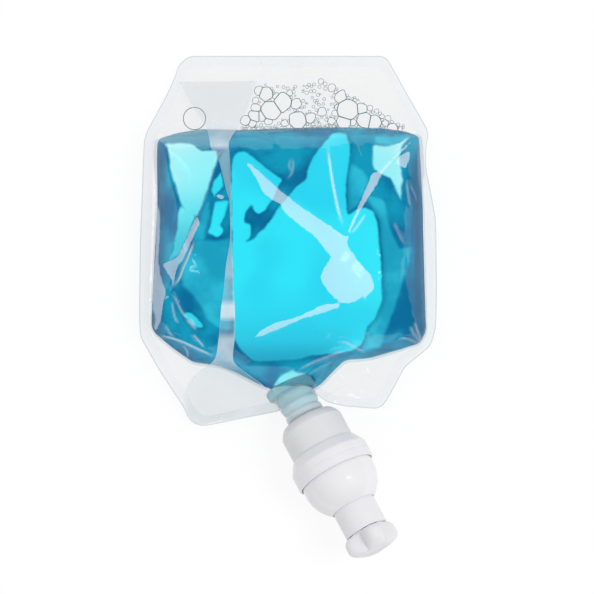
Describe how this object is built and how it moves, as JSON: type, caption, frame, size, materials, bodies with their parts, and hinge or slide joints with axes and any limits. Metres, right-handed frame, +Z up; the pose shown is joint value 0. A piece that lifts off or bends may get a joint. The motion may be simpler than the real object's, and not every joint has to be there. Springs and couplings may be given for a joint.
{
  "type": "hand soap refill pack",
  "caption": "Clear heat-sealed film pouch of blue liquid soap with foam under its top seal, and a foam pump with a winged pull-off cap on its spout.",
  "frame": {"origin": "middle of the footprint, on the floor that the pack lies on", "axes": "+Z up through the front film, +Y towards the pouch's top seal, +X to the right seen from the front"},
  "size_m": [0.161, 0.2718, 0.0506],
  "materials": {
    "film": "clear glossy film",
    "liquid": "clear blue liquid",
    "foam": "soap foam",
    "spout": "translucent",
    "housing": "frosted",
    "ring": "glossy white",
    "dome": "glossy white",
    "stem": "satin white",
    "cap": "satin white",
    "inner": "natural",
    "screen": "woven mesh",
    "rubber": "matt",
    "ball": "smooth",
    "steel": "drawn wire"
  },
  "bodies": {
    "pack": {"pouch_film": "film", "liquid_soap": "liquid", "foam_layer": "foam", "spout_fitment": "spout", "pump_housing": "housing", "locking_ring": "ring", "dome_cover": "dome", "neck_o_ring": "rubber", "housing_gasket": "rubber", "ball_retainer": "inner", "return_spring": "steel"},
    "nozzle": {"nozzle": "stem", "air_piston": "inner", "air_valve": "rubber", "liquid_piston": "inner", "mesh_holder": "inner", "coarse_mesh": "screen", "fine_mesh": "screen"},
    "cap": {"winged_cap": "cap"},
    "inlet_ball": {"inlet_ball": "ball"},
    "outlet_ball": {"outlet_ball": "ball"}
  },
  "joints": [
    {"name": "nozzle_press", "type": "slide", "parent": "pack", "child": "nozzle", "axis": [-0.4543, 0.8654, -0.2113], "range_m": [0, 0.01], "stiffness_N_per_m": 500, "springref_m": -0.01, "deforming": ["return_spring"]},
    {"name": "cap_pull", "type": "slide", "parent": "nozzle", "child": "cap", "axis": [0.4543, -0.8654, 0.2113], "range_m": [0, 0.025]},
    {"name": "inlet_ball_lift", "type": "slide", "parent": "pack", "child": "inlet_ball", "axis": [0.4543, -0.8654, 0.2113], "range_m": [0, 0.001]},
    {"name": "outlet_ball_lift", "type": "slide", "parent": "nozzle", "child": "outlet_ball", "axis": [0.4543, -0.8654, 0.2113], "range_m": [0, 0.001]}
  ]
}
